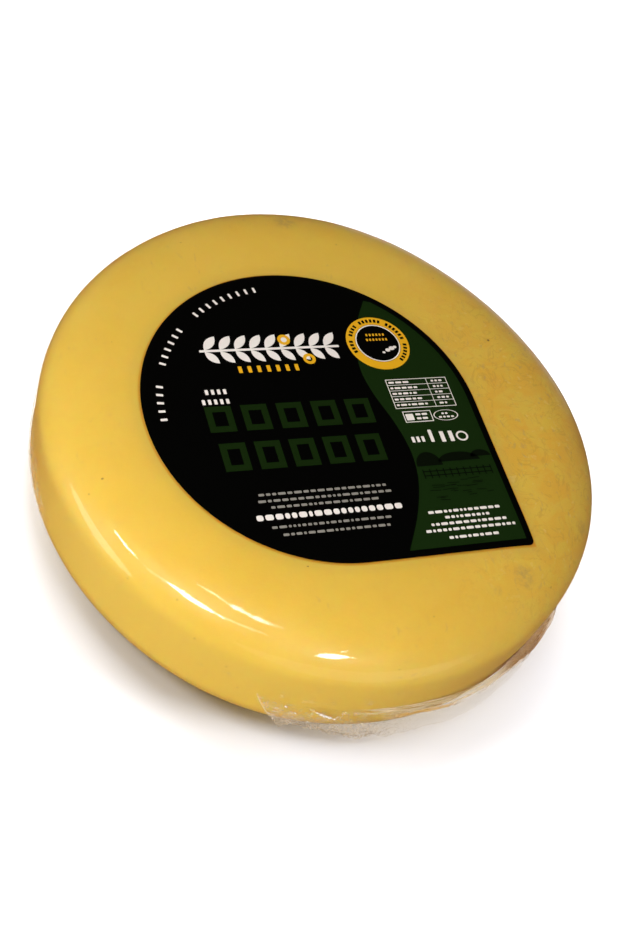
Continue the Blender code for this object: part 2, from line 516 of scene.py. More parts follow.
# Small pale smudges of the film on the near wall: azimuth in degrees, height and size in metres
SMUDGES = (
    (-124, 0.025, 0.0022), (-129, 0.022, 0.0018), (-113, 0.024, 0.0026),
    (-108, 0.023, 0.0030), (-104, 0.024, 0.0030), (-97, 0.025, 0.0032),
)
# The wrinkled strip low on the left: its spots' azimuths in degrees and heights, and how far round
# each it is full and how far it reaches
SLACK_PLACES = ((156, 0.026), (161, 0.024), (166, 0.020), (171, 0.016), (176, 0.014), (181, 0.012))
SLACK_FULL = 0.002
SLACK_REACH = 0.013


def film_shader(n, haze, normal, roughness, tint, milky, shine):
    """Clear film: light goes through it, a share glints back, and haze is its milky share."""
    clear = n.add("ShaderNodeBsdfTransparent", {"Color": tint}).outputs[0]
    white = (1, 1, 1, 1)
    gloss = n.add("ShaderNodeBsdfGlossy", {"Color": white, "Roughness": roughness, "Normal": normal})
    milk = n.add("ShaderNodeBsdfDiffuse", {"Color": milky, "Normal": normal}).outputs[0]
    body = n.add("ShaderNodeMixShader", {0: haze, 1: clear, 2: milk}).outputs[0]
    # The share that glints is the same from both sides of the film
    glint = n.plus(n.times(n.math("POWER", n.facing(Normal=normal), 5.0), 2.0 * shine), shine)
    return n.add("ShaderNodeMixShader", {0: glint, 1: body, 2: gloss.outputs[0]}).outputs[0]


def tight_film_material():
    n = Nodes("film_tight")
    waves = n.bump(n.noise(0.0022, 4, 0.6), 0.000025)
    cloud = n.noise(0.0016, 4, 0.7, n.stretched((1.0, 1.0, 1.6)), 0.8)
    haze = n.ramp(cloud, 0.5, 0.8, 0.004, 0.012)
    for azimuth, z, size in SMUDGES:
        near = n.spot(wall_point(azimuth, z), 0.2 * size, size)
        haze = n.plus(haze, n.times(near, n.ramp(cloud, 0.48, 0.66, 0.0, 0.22)))
    slack = n.most(*[n.spot(wall_point(*place), SLACK_FULL, SLACK_REACH) for place in SLACK_PLACES])
    crease = n.noise(0.0012, 3, 0.6, n.stretched((1.0, 0.6, 1.0)), 1.0)
    haze = n.plus(haze, n.times(slack, n.ramp(crease, 0.50, 0.64, 0.08, 0.52)))
    return n.surface(film_shader(n, haze, waves, 0.055, FILM_CLEAR, FILM_PALE, TIGHT_SHINE))


# The loose end, where every place is a share along it from the ear and a share down it.
# Painted glints, small near-white spots where its folds catch the light: along, down, and size in
# millimetres.
PAINTED_GLINTS = (
    (0.065, 0.12, 0.50), (0.080, 0.26, 0.45), (0.138, 0.15, 0.60), (0.145, 0.19, 0.90),
    (0.153, 0.24, 1.05), (0.162, 0.27, 0.95), (0.172, 0.31, 0.60), (0.101, 0.49, 0.45),
    (0.113, 0.95, 0.40), (0.176, 0.92, 0.45), (0.020, 0.90, 0.34), (0.032, 0.76, 0.30),
    (0.045, 0.62, 0.30), (0.058, 0.50, 0.30),
)
LOOSE_LENGTH = 0.105
LOOSE_DEPTH = 0.018


def between(n, value, low, low_full, high_full, high):
    """None outside low to high, and one inside low_full to high_full."""
    return n.times(n.ramp(value, low, low_full), n.ramp(value, high, high_full))


def streak_band(n, along, down):
    """A band of pale streaks, and an amber line under it: the haze, the band's and the line's mask."""
    # The band leaves the wheel's wall little by little
    middle = n.math("MINIMUM", n.minus(n.times(along, 0.75), 0.135), 0.32)
    off = n.minus(down, middle)
    streak = n.ramp(n.noise(1.0, 5, 0.65, n.joined(along, off, (9.0, 30.0))), 0.42, 0.58, 0.02, 0.62)
    band = n.ramp(n.math("ABSOLUTE", off), 0.16, 0.12)
    haze = n.times(streak, band, between(n, along, 0.20, 0.32, 0.60, 0.70))
    line = n.times(between(n, off, 0.11, 0.15, 0.22, 0.27), between(n, along, 0.28, 0.36, 0.46, 0.54))
    return haze, n.times(band, n.ramp(along, 0.20, 0.32)), line


def crumpled_part(n, along, down):
    """Milky, finely creased film low down next to the ear: its haze and its mask."""
    part = n.times(between(n, along, 0.02, 0.08, 0.22, 0.40), n.ramp(down, 0.18, 0.75))
    creases = n.ramp(n.noise(0.0011, 4, 0.65, distortion=1.2), 0.46, 0.70, 0.06, 0.40)
    return n.times(part, creases), part


def ear_haze(n, along, down):
    """Thin milky strokes near the ear, and a veil inside its corner."""
    line = n.off_middle(n.noise(0.0032, 3, 0.6, distortion=1.6))
    stroke = n.times(n.ramp(line, 0.024, 0.004, 0.0, 0.60), n.ramp(n.noise(0.002), 0.4, 0.6))
    stroke = n.times(stroke, n.ramp(along, 0.30, 0.20), n.ramp(down, 0.02, 0.12))
    veil = n.times(n.ramp(along, 0.13, 0.02, 0.0, 0.15), n.ramp(n.noise(0.003, 3, 0.6), 0.35, 0.6))
    return n.plus(stroke, n.times(veil, n.ramp(down, 0.0, 0.42)))


def edge_highlight_haze(n, along, down):
    """Faintly bright free edges: a painted highlight along them."""
    low_edge = n.times(n.ramp(down, 0.965, 0.99, 0.0, 0.07), n.ramp(along, 0.50, 0.40))
    return n.most(low_edge, n.ramp(along, 0.006, 0.002, 0.0, 0.16))


def shaded_pocket(n, along, down):
    """The pocket, painted shade: the film tinted brown where it stands off the wheel's shaded foot,
    with pale grain and a pale strip under it: their haze, and its mask.
    """
    reach = n.most(n.math("DIVIDE", n.minus(along, 0.65), 0.186), 0.0)
    rim = n.minus(down, n.plus(n.times(n.math("POWER", reach, 1.6), 0.63), 0.37))
    uneven = n.times(n.minus(n.noise(0.003, 3, 0.6), 0.5), 0.16)
    ends_at = n.plus(along, uneven, n.times(down, 0.05))
    pocket_shade = n.times(n.ramp(along, 0.60, 0.70), n.ramp(ends_at, 0.99, 0.86), n.ramp(rim, 0.03, -0.02))
    grain = n.ramp(n.noise(0.0007, 3, 0.7), 0.42, 0.72, 0.04, 0.36)
    strip = n.times(between(n, rim, 0.00, 0.04, 0.12, 0.18), between(n, along, 0.55, 0.60, 0.77, 0.82))
    return n.plus(n.times(pocket_shade, grain), n.times(strip, 0.30)), pocket_shade


def painted_glints(n, along, down):
    """One on the painted glints, small near-white spots a little ragged, and none away from them."""
    flat = n.joined(along, down, (LOOSE_LENGTH, LOOSE_DEPTH))
    # Spots of painted glint
    folds = []
    for glint_along, glint_down, size in PAINTED_GLINTS:
        point = (glint_along * LOOSE_LENGTH, glint_down * LOOSE_DEPTH, 0.0)
        folds.append(n.ramp(n.gap(flat, point), size * MM, 0.4 * size * MM))
    return n.times(n.most(*folds), n.ramp(n.noise(0.0006, 2, 0.5), 0.3, 0.6, 0.5, 1.0))


def loose_film_material():
    n = Nodes("film_loose")
    along, down = n.sheet_place()
    streaks, band, line = streak_band(n, along, down)
    creases, crumpled = crumpled_part(n, along, down)
    pocket_haze, pocket_shade = shaded_pocket(n, along, down)
    bright = painted_glints(n, along, down)
    cloud = n.ramp(n.noise(0.005, 3, 0.6), 0.45, 0.7, 0.002, 0.016)
    haze = n.plus(streaks, n.times(line, 0.50), creases, ear_haze(n, along, down), cloud)
    # A painted highlight along the free edges
    haze = n.most(haze, edge_highlight_haze(n, along, down))
    haze = n.most(n.plus(haze, pocket_haze), bright)
    milky = n.blend(band, FILM_MILK, FILM_CREAM)
    milky = n.blend(line, milky, FILM_AMBER)
    milky = n.blend(crumpled, milky, FILM_TAN)
    # Painted glints: near-white spots on the film's folds
    milky = n.blend(bright, milky, FILM_GLINT_WHITE)
    # Painted shade: the film tinted brown over the pocket
    tint = n.blend(pocket_shade, FILM_CLEAREST, FILM_POCKET_SHADE)
    normal = n.bump(n.noise(0.0012, 4, 0.65), 0.00006)
    return n.surface(film_shader(n, haze, normal, 0.08, tint, milky, LOOSE_SHINE))


# The label's material

def print_material(name, base, shine, roughness=0.5):
    """Ink on the label, with the faint grain of its sheet."""
    n = Nodes(name)
    grain = 0.06
    dark = (*[share * (1 - grain) for share in base[:3]], 1.0)
    inked = n.blend(n.noise(0.0009, 3, 0.6), base, dark)
    relief = n.bump(n.noise(0.0005, 2, 0.5), 0.00001, 0.4)
    return n.solid(inked, roughness, shine, Normal=relief)


# The cheese and the film's tight skin

# How far the cheese lies inside the film, and how much further under the wrinkles
CHEESE_INSET = 0.00012
SLACK_INSET = 0.00030
# The wrinkled place low on the left side: azimuth and its half width in degrees, height and its own
WRINKLE_AZIMUTH = (166, 14)
WRINKLE_HEIGHT = (0.018, 0.010)
# Relief: how deep or high in metres, and the size of one dent or wave
DENT, DENT_CELL = 0.00010, 0.011
FINE_DENT, FINE_DENT_CELL = 0.00005, 0.003
WAVE, WAVE_CELL = 0.00004, 0.012
FINE_WAVE, FINE_WAVE_CELL = 0.000016, 0.004
WRINKLE, WRINKLE_CELL, FINE_WRINKLE_CELL = 0.00026, 0.0035, 0.0018
# Pleats round the foot: how high, where they are strongest, and how tall one is for its width
PLEAT = 0.00012
PLEAT_HEIGHT = (0.006, 0.006)
PLEAT_STRETCH = 0.05
FLOOR_GAP = 0.00004


def wrinkled(angle, z):
    """Where the film is slack and wrinkled, low on the left side, 0 to 1."""
    azimuth, half_width = WRINKLE_AZIMUTH
    return bell(turn_gap(angle, azimuth), 0, half_width) * bell(z, *WRINKLE_HEIGHT)


def make_cheese():
    points, normals, angle = turned_points()
    inward = CHEESE_INSET + SLACK_INSET * wrinkled(angle[None, :], points[..., 2])
    inward = inward + DENT * (0.5 + 0.5 * smooth_noise(points, DENT_CELL, 3))
    inward = inward + FINE_DENT * (0.5 + 0.5 * smooth_noise(points, FINE_DENT_CELL, 4))
    points = points - normals * inward[..., None]
    cheese = add_piece("cheese", turned_mesh("cheese", points), cheese_material())
    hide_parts("cheese_wheel")


def make_film_skin():
    points, normals, angle = turned_points()
    z = points[..., 2]
    around = angle[None, :]
    lift = WAVE * smooth_noise(points, WAVE_CELL, 11)
    lift = lift + FINE_WAVE * smooth_noise(points, FINE_WAVE_CELL, 16)
    # Pleats round the foot, where the film is drawn in under the wheel
    level = 0 * z
    place = np.stack([np.cos(around) + level, np.sin(around) + level, z / PLEAT_STRETCH], -1)
    pleats = smooth_noise(place, 0.035, 12) + 0.5 * smooth_noise(place, 0.016, 13)
    lift = lift + PLEAT * pleats * bell(z, *PLEAT_HEIGHT)
    # Wrinkles low on the left side
    crumple = np.abs(smooth_noise(points, WRINKLE_CELL, 14))
    crumple = crumple + 0.5 * np.abs(smooth_noise(points, FINE_WRINKLE_CELL, 15))
    lift = lift + WRINKLE * (crumple - 0.4) * wrinkled(around, z)
    points = points + normals * lift[..., None]
    points[..., 2] = np.maximum(points[..., 2], FLOOR_GAP)
    skin = add_piece("film_skin", turned_mesh("film_skin", points), tight_film_material())
    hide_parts("cheese_wheel")


# The film's loose end

# Azimuths in degrees where its upper and lower edge start and where it ends, and heights
SEAL_UPPER_START = -117.5
SEAL_LOWER_START = -110.0
SEAL_END = -35.0
SEAL_TOP = 0.0205
SEAL_BOTTOM = 0.0028
SEAL_END_RISE = 0.0065
# The lower edge's distance from the wheel's axis, in millimetres, by its azimuth in degrees
EDGE_AZIMUTHS = (-110, -107.5, -104, -99, -95, -85, -80, -75, -70, -60, -53, -47, -41, -35)
EDGE_RADII = (78.9, 77.4, 77.8, 79.4, 80.8, 81.2, 82.0, 83.2, 84.0, 84.3, 85.0, 85.4, 86.3, 83.5)
SEAL_THICKNESS = 0.00008
SEAL_COLUMNS = 700
SEAL_ROWS = 48
# Its upper edge tucks in under the tight film, and the rest stays just outside the wheel
SEAL_TUCK = 0.0003
SEAL_GAP = 0.0002
# How deep its ragged lower edge and its folds are
RAGGED = 0.0006
CRUMPLED_FOLD, CRUMPLED_FINE = 0.00060, 0.00026
LONG_FOLD, LONG_FINE = 0.00022, 0.00010


def make_film_seal():
    along, down = np.meshgrid(np.linspace(0, 1, SEAL_COLUMNS), np.linspace(0, 1, SEAL_ROWS))
    start = lerp(SEAL_UPPER_START, SEAL_LOWER_START, down)
    angle = np.radians(lerp(start, SEAL_END, along))
    edge_azimuth = lerp(SEAL_LOWER_START, SEAL_END, along)
    edge = np.interp(edge_azimuth, EDGE_AZIMUTHS, EDGE_RADII) * MM
    level = 0 * along
    ragged = RAGGED * smooth_noise(np.stack([along * 0.11, level, level], -1), 0.0045, 23)
    bottom = SEAL_BOTTOM + ragged + SEAL_END_RISE * smooth(0.80, 1.0, along)
    z = lerp(SEAL_TOP, bottom, down)
    radius = lerp(WHEEL_RADIUS * out_of_round(angle) - SEAL_TUCK, edge, down**0.8)

    # Folds: crumpled next to the ear, long and flat further on
    place = np.stack([along * 0.12, down * 0.02, level], -1)
    crumpled = smooth(0.48, 0.28, along) * smooth(0.0, 0.3, down)
    slanted = place * (1, 1.4, 1) + down[..., None] * 0.003
    folds = 1 - 2 * np.abs(smooth_noise(slanted, 0.0042, 21))
    fine = 1 - 2 * np.abs(smooth_noise(place * (1, 1.6, 1), 0.0017, 22))
    long_folds = smooth_noise(place * (0.16, 1.5, 1), 0.0022, 24)
    radius = radius + crumpled * (CRUMPLED_FOLD * folds + CRUMPLED_FINE * fine)
    flat = (1 - crumpled) * smooth(0.1, 0.4, down)
    radius = radius + flat * (LONG_FOLD * long_folds + LONG_FINE * fine)
    gap = lerp(-SEAL_TUCK, SEAL_GAP, smooth(0.0, 0.12, down))
    radius = np.maximum(radius, side_radius(z, angle) + gap)

    points = np.stack([radius * np.cos(angle), radius * np.sin(angle), z], -1)
    mesh = sheet_mesh("film_seal", points, along, down)
    seal = add_piece("film_loose_end", mesh, loose_film_material())
    thicken(seal, SEAL_THICKNESS)
    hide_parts("film_seal")


# The label and what is printed on it. Places on it are in millimetres from its circle's centre.

SHEET_BASE = 0.00006
SHEET_THICKNESS = 0.00016
PRINT_LIFT = 0.00003
LAID_CELL = 0.003
BLACK = (0.0010, 0.0011, 0.0010, 1.0)
# Each ink's colour, shine and roughness
INKS = {
    "white": (colour(236, 232, 228), 0.2),
    "faint": (colour(140, 138, 131), 0.2),
    "yellow": (colour(230, 174, 26), 0.2),
    "green": (colour(20, 40, 12), 0.02),
    "title": (colour(19, 37, 10), 0.02),
    "dark": (colour(8, 15, 6), 0.02),
    "black": (BLACK, 0.01, 0.45),
}


def drop_outline():
    """The label's edge round its circle's centre, anticlockwise."""
    inner = LABEL_RADIUS - LABEL_CORNER_RADIUS
    points = [
        Vector((math.cos(turn), math.sin(turn))) * LABEL_RADIUS
        for turn in np.linspace(0, 1.5 * math.pi, 121)
    ]
    for turn in np.linspace(-0.5 * math.pi, 0, 9):
        out = Vector((math.cos(turn), math.sin(turn)))
        points.append(Vector((inner, -inner)) + out * LABEL_CORNER_RADIUS)
    return points


def cut_across(shape, axis):
    """Cut flat faces into strips, one cell wide along an axis, so that they can bend."""
    normal = Vector((1, 0, 0)) if axis == 0 else Vector((0, 1, 0))
    low = min(vert.co[axis] for vert in shape.verts)
    high = max(vert.co[axis] for vert in shape.verts)
    cut = math.ceil(low / LAID_CELL) * LAID_CELL
    while cut < high:
        everything = shape.verts[:] + shape.edges[:] + shape.faces[:]
        at = normal * cut
        bmesh.ops.bisect_plane(shape, geom=everything, plane_co=at, plane_no=normal, dist=1e-7)
        cut += LAID_CELL


def laid_mesh(name, outlines, lift):
    """Flat outlines round the label's centre, laid on the wheel's top at a height above it."""
    shape = bmesh.new()
    for outline in outlines:
        shape.faces.new([shape.verts.new((*point, 0.0)) for point in outline])
    for axis in (0, 1):
        cut_across(shape, axis)
    bmesh.ops.triangulate(shape, faces=shape.faces[:])
    for vert in shape.verts:
        x, y = LABEL_CENTRE + vert.co.xy
        vert.co = (x, y, float(top_height(x, y)) + lift)
    bmesh.ops.recalc_face_normals(shape, faces=shape.faces[:])
    mesh = bpy.data.meshes.new(name)
    shape.to_mesh(mesh)
    shape.free()
    return mesh


def placed(points, x, y, turn=0.0):
    """Points turned, moved to a place and brought from millimetres to metres."""
    spin = Matrix.Rotation(turn, 2)
    return [(spin @ point + Vector((x, y))) * MM for point in points]


def box(x, y, width, height, corner=0.0, turn=0.0):
    """A rectangle by its middle, with rounded corners."""
    radius = min(corner, width / 2, height / 2)
    steps = 5 if radius > 0 else 1
    points = []
    for side_x, side_y, first in ((1, 1, 0), (-1, 1, 90), (-1, -1, 180), (1, -1, 270)):
        middle = Vector((side_x * (width / 2 - radius), side_y * (height / 2 - radius)))
        for step in range(steps):
            at = math.radians(first + 90 * step / max(steps - 1, 1))
            points.append(middle + Vector((math.cos(at), math.sin(at))) * radius)
    return placed(points, x, y, turn)


def disc(x, y, across, up, steps):
    turns = np.linspace(0, 2 * math.pi, steps, endpoint=False)
    points = [Vector((across * math.cos(turn), up * math.sin(turn))) for turn in turns]
    return placed(points, x, y)


def ring(x, y, outer, inner, squash=1.0, steps=48):
    """A ring as a row of four-sided pieces."""
    turns = np.linspace(0, 2 * math.pi, steps + 1)
    pieces = []
    for a, b in zip(turns, turns[1:]):
        corners = ((outer, a), (outer, b), (inner, b), (inner, a))
        points = [Vector((r * math.cos(t), squash * r * math.sin(t))) for r, t in corners]
        pieces.append(placed(points, x, y))
    return pieces


def hollow_box(x, y, width, height, line):
    """A box of lines, as four bars."""
    return [
        box(x, y + height / 2, width + line, line),
        box(x, y - height / 2, width + line, line),
        box(x - width / 2, y, line, height - line),
        box(x + width / 2, y, line, height - line),
    ]


def leaf(x, y, length, width, turn):
    """A pointed oval whose stalk end is at the point."""
    points = []
    for side in (1, -1):
        for share in np.linspace(0, 1, 9)[:-1]:
            along = share if side == 1 else 1 - share
            out = side * 0.5 * width * math.sin(math.pi * along) ** 0.8
            points.append(Vector((along * length, out)))
    return placed(points, x, y, turn)


def uneven_bars(left, right, y, height, rng, gap, shortest, longest):
    """A line of bars of uneven length."""
    bars = []
    x = left
    while x < right - shortest:
        length = min(rng.uniform(shortest, longest), right - x)
        bars.append(box(x + length / 2, y, length, height, height * 0.35))
        x += length + gap
    return bars


def uneven_lines(lines, height, rng, bars):
    """Lines of uneven bars, each by its height on the label, left end and right end."""
    shapes = []
    for y, left, right in lines:
        shapes += uneven_bars(left, right, y, height, rng, *bars)
    return shapes


def even_bars(left, right, y, height, width, gap):
    """Upright bars, evenly spaced."""
    count = max(int((right - left + gap) / (width + gap)), 1)
    step = (right - left + gap) / count
    return [box(left + width / 2 + step * k, y, width, height, 0.2) for k in range(count)]


def curve_through(points, steps=8):
    """A smooth run through a few points, each stretch a cubic."""
    ends = [2 * Vector(points[0]) - Vector(points[1])] + [Vector(p) for p in points]
    ends.append(2 * Vector(points[-1]) - Vector(points[-2]))
    run = []
    for a, b, c, d in zip(ends, ends[1:], ends[2:], ends[3:]):
        for step in range(steps):
            t = step / steps
            square = 2 * a - 5 * b + 4 * c - d
            cube = 3 * b - a - 3 * c + d
            run.append(0.5 * (2 * b + (c - a) * t + square * t * t + cube * t**3))
    run.append(Vector(points[-1]))
    return run


# The green field's inner edge, from its upper tip down to the label's lower edge
GREEN_EDGE = (
    (26.2, 38.4), (22.0, 31.0), (18.6, 22.0), (17.0, 12.8), (18.2, 4.0), (21.0, -5.2), (22.6, -13.0),
    (22.8, -20.0), (21.4, -27.5), (17.6, -37.0), (11.8, -47.2),
)
GREEN_BORDER = 2.0


def green_shapes():
    radius = LABEL_RADIUS / MM - GREEN_BORDER
    tip_x, tip_y = GREEN_EDGE[0]
    turns = np.linspace(0, math.atan2(tip_y, tip_x), 24)[:-1]
    outer = [Vector((math.cos(turn), math.sin(turn))) * radius for turn in turns]
    points = curve_through(GREEN_EDGE) + [Vector((radius, -radius))] + outer
    return [[point * MM for point in points]]


# The title's two rows of hollow blocks: first middle, step, and each one's width and height
TITLE_ROWS = ((-28.6, -1.6, 10.2, 5.6, 6.6), (-27.6, -14.0, 9.8, 5.4, 7.0))
TITLE_BLOCKS = 5
TITLE_LINE = 1.9


def title_shapes():
    shapes = []
    for x, y, step, width, height in TITLE_ROWS:
        for k in range(TITLE_BLOCKS):
            shapes += hollow_box(x + k * step, y, width, height, TITLE_LINE)
    return shapes


# The roundel: its middle, its black ground, its inner line, its ring, the short marks on the ring
# with their gaps, and the low bush inside it by discs of x, y and size
ROUNDEL = (25.6, 22.1)
ROUNDEL_GROUND = 7.1
ROUNDEL_LINE = (6.9, 6.55)
ROUNDEL_RING = (9.8, 7.0)
RING_MARKS = 30
RING_MARK_RADIUS = 8.4
RING_GAPS = (4, 9, 16, 23)
BUSH = ((26.4, 18.6, 0.5), (27.9, 19.4, 0.8), (29.3, 20.0, 0.9), (30.4, 20.4, 0.6))

# The curved line of bars inside the upper left edge: how many, its gaps, radius and angles in degrees
CURVED_BARS = 24
CURVED_GAPS = (5, 6, 13, 14)
CURVED_RADIUS = 44.0
CURVED_START = 181
CURVED_STEP = 3.55

# The sprig: its stem's height and ends, and its pairs of leaves
STEM_HEIGHT = 21.6
STEM_LEFT = -29.0
STEM_RIGHT = 13.0
LEAF_PAIRS = 9
LEAF_STEP = 4.5

# Lines of small bars, each by its height, left end and right end
FIELD_LINES = (
    (-36.4, 21.0, 43.0), (-38.3, 25.4, 39.0), (-40.2, 20.6, 43.6), (-42.1, 18.4, 45.6),
    (-44.6, 24.4, 39.8),
)
FAINT_LINES = (
    (-26.4, -24.6, 11.8), (-28.4, -25.2, 12.8), (-30.4, -22.2, 9.4), (-36.4, -23.6, 11.0),
    (-38.8, -21.2, 9.0),
)
FIELD_BARS = (0.45, 0.7, 2.2)
FAINT_BARS = (0.5, 0.7, 2.2)
BOLD_BARS = (0.55, 1.0, 2.4)

# The table in the green field: its middle, width and height, its rows, and its left and right column
TABLE = (33.0, 3.4, 19.2, 10.2)
TABLE_LINES = (6.5, 4.5, 2.5, 0.5)
TABLE_DIVIDE = 36.2
TABLE_TOP_ROW = 7.45
TABLE_ROW_STEP = 2.0
TABLE_LEFT = 24.0
TABLE_RIGHT = 37.6


def curved_bars():
    shapes = []
    for step in range(CURVED_BARS):
        if step not in CURVED_GAPS:
            turn = math.radians(CURVED_START - step * CURVED_STEP)
            x, y = CURVED_RADIUS * math.cos(turn), CURVED_RADIUS * math.sin(turn)
            shapes.append(box(x, y, 1.9, 0.75, 0.2, turn))
    return shapes


def sprig():
    shapes = [box((STEM_LEFT + STEM_RIGHT) / 2, STEM_HEIGHT, STEM_RIGHT - STEM_LEFT, 0.8, 0.3)]
    for pair in range(LEAF_PAIRS):
        x = STEM_LEFT + 1.5 + pair * LEAF_STEP
        shapes.append(leaf(x, STEM_HEIGHT + 0.35, 6.2, 2.7, math.radians(50)))
        shapes.append(leaf(x, STEM_HEIGHT - 0.35, 5.4, 2.5, math.radians(-50)))
    return shapes


def small_table(rng):
    middle_x, middle_y, width, height = TABLE
    shapes = hollow_box(*TABLE, 0.22)
    for y in TABLE_LINES:
        shapes.append(box(middle_x, y, width - 0.2, 0.16))
    shapes.append(box(TABLE_DIVIDE, middle_y, 0.18, height - 0.2))
    for row in range(5):
        y = TABLE_TOP_ROW - TABLE_ROW_STEP * row
        end = TABLE_LEFT + rng.uniform(6.5, 11.0)
        shapes += uneven_bars(TABLE_LEFT, end, y, 0.65, rng, 0.4, 0.7, 2.0)
        end = TABLE_RIGHT + rng.uniform(2.4, 4.4)
        shapes += uneven_bars(TABLE_RIGHT, end, y, 0.65, rng, 0.4, 0.7, 1.5)
    return shapes


def small_box_and_oval(rng):
    shapes = hollow_box(29.2, -4.8, 8.6, 3.6, 0.25)
    shapes.append(box(26.6, -4.9, 2.4, 2.2, 0.2))
    for y in (-4.1, -5.5):
        shapes += uneven_bars(28.6, 33.0, y, 0.7, rng, 0.4, 0.8, 2.0)
    shapes += ring(38.0, -4.9, 3.9, 3.6, 0.48)
    shapes += uneven_bars(36.8, 39.2, -4.3, 0.6, rng, 0.4, 0.6, 1.4)
    shapes += uneven_bars(35.6, 40.4, -5.5, 0.6, rng, 0.4, 0.6, 1.6)
    return shapes


def white_shapes(rng):
    shapes = curved_bars() + sprig()
    # Two short lines over the title, and the bold line low down
    shapes += even_bars(-30.8, -24.6, 7.4, 1.7, 0.9, 0.7)
    shapes += even_bars(-32.4, -24.6, 4.1, 1.7, 0.9, 0.7)
    shapes += uneven_bars(-27.0, 15.0, -33.3, 1.7, rng, *BOLD_BARS)
    # A row of bars of several heights and a ring, in the green field
    shapes += even_bars(24.5, 28.6, -12.6, 1.9, 0.9, 0.5)
    shapes.append(box(30.8, -11.7, 1.1, 4.2, 0.3))
    shapes += even_bars(33.6, 38.2, -12.2, 3.6, 1.3, 0.9)
    shapes += ring(40.4, -12.4, 1.9, 1.3, 0.9, 24)
    shapes += uneven_lines(FIELD_LINES, 0.85, rng, FIELD_BARS)
    shapes += small_table(rng) + small_box_and_oval(rng)
    shapes += ring(*ROUNDEL, *ROUNDEL_LINE)
    shapes += [disc(x, y, size, 0.8 * size, 12) for x, y, size in BUSH]
    return shapes


# In the green field: hills by x, y, half width and height, and a fence
HILLS = ((27.0, -21.6, 4.0, 4.6), (36.5, -20.6, 6.5, 3.0), (43.6, -19.6, 3.2, 2.2))
FENCE_POSTS = 11
FENCE_LEFT = 24.2
FENCE_STEP = 2.1
FENCE_RAILS = (-23.4, -24.8)
GRASS_BLADES = 26


def dark_shapes(rng):
    """Low hills, a fence and grass in the green field, and short marks on the roundel's ring."""
    shapes = []
    for x, y, half, high in HILLS:
        turns = np.linspace(0, math.pi, 16)
        rise = [Vector((half * math.cos(turn), high * math.sin(turn))) for turn in turns]
        shapes.append(placed(rise, x, y))
    for post in range(FENCE_POSTS):
        shapes.append(box(FENCE_LEFT + post * FENCE_STEP, -24.2, 0.35, 3.0))
    for y in FENCE_RAILS:
        shapes.append(box(34.7, y, 21.4, 0.35))
    for blade in range(GRASS_BLADES):
        x = rng.uniform(24.5, 44.0)
        y = rng.uniform(-33.0, -26.5)
        width = rng.uniform(1.2, 4.0)
        shapes.append(box(x, y, width, 0.22, 0.1, rng.uniform(-0.1, 0.1)))
    for mark in range(RING_MARKS):
        if mark not in RING_GAPS:
            turn = math.radians(200 - mark * 8.6)
            x = ROUNDEL[0] + RING_MARK_RADIUS * math.cos(turn)
            y = ROUNDEL[1] + RING_MARK_RADIUS * math.sin(turn)
            shapes.append(box(x, y, 1.2, 0.8, 0.1, turn))
    return shapes


def yellow_shapes():
    """Two small rings on the sprig, a row of bars under it, and two rows in the roundel."""
    shapes = ring(-3.2, 24.6, 1.9, 0.9, 1.0, 18)
    shapes += ring(2.6, 17.4, 1.9, 0.9, 1.0, 18)
    shapes += even_bars(-19.4, -1.3, 14.6, 2.3, 1.1, 1.5)
    shapes += even_bars(22.6, 28.6, 25.2, 0.9, 0.6, 0.4)
    shapes += even_bars(22.2, 29.0, 23.4, 0.9, 0.6, 0.4)
    return shapes


def make_label():
    ink = print_material("label_black", BLACK, 0.01, 0.45)
    sheet = laid_mesh("label", [drop_outline()], SHEET_BASE)
    label = add_piece("label_sheet", sheet, ink)
    thicken(label, SHEET_THICKNESS)
    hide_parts("label")


def add_print(name, outlines, material, level):
    """A layer of print, which lies over the label's sheet by its level."""
    lift = SHEET_BASE + SHEET_THICKNESS + PRINT_LIFT * level
    add_piece(name, laid_mesh(name, outlines, lift), material)


def make_print():
    rng = np.random.default_rng(7)
    ink = {name: print_material("print_" + name, *look) for name, look in INKS.items()}
    add_print("label_green_field", green_shapes(), ink["green"], 1)
    add_print("label_title_blocks", title_shapes(), ink["title"], 1)
    ground = disc(*ROUNDEL, ROUNDEL_GROUND, ROUNDEL_GROUND, 40)
    add_print("label_roundel_ground", [ground], ink["black"], 2)
    add_print("label_white_print", white_shapes(rng), ink["white"], 3)
    faint = uneven_lines(FAINT_LINES, 0.75, rng, FAINT_BARS)
    add_print("label_faint_print", faint, ink["faint"], 3)
    add_print("label_roundel_ring", ring(*ROUNDEL, *ROUNDEL_RING), ink["yellow"], 3)
    add_print("label_yellow_print", yellow_shapes(), ink["yellow"], 4)
    add_print("label_dark_print", dark_shapes(rng), ink["dark"], 4)


# Floor and lights

FLOOR_COLOUR = (0.86, 0.885, 0.95, 1.0)
FLOOR_SIZE = 8
WORLD_COLOUR = (1.0, 0.74, 0.52, 1.0)
WORLD_STRENGTH = 0.20
LIGHT_AIM = Vector((0, 0, 0.03))

# Soft round lights: azimuth and elevation in degrees, and watts. Those for the wheel stand nearer
# than those for the floor: distance and width in metres.
WHEEL_LIGHT_PLACE = (0.42, 0.22)
WHEEL_LIGHTS = (
    (-120, 44, 0.462), (-150, 44, 0.234), (-150, 60, 0.716), (-180, 44, 0.122), (-180, 60, 0.173),
)
FLOOR_LIGHT_PLACE = (1.0, 0.35)
FLOOR_LIGHTS = (
    (0, 90, 3.0), (-30, 24, 7.6), (-15, 46, 1.7), (90, 24, 3.2), (90, 68, 3.1), (120, 46, 2.4),
    (120, 24, 2.7), (165, 46, 3.6),
)
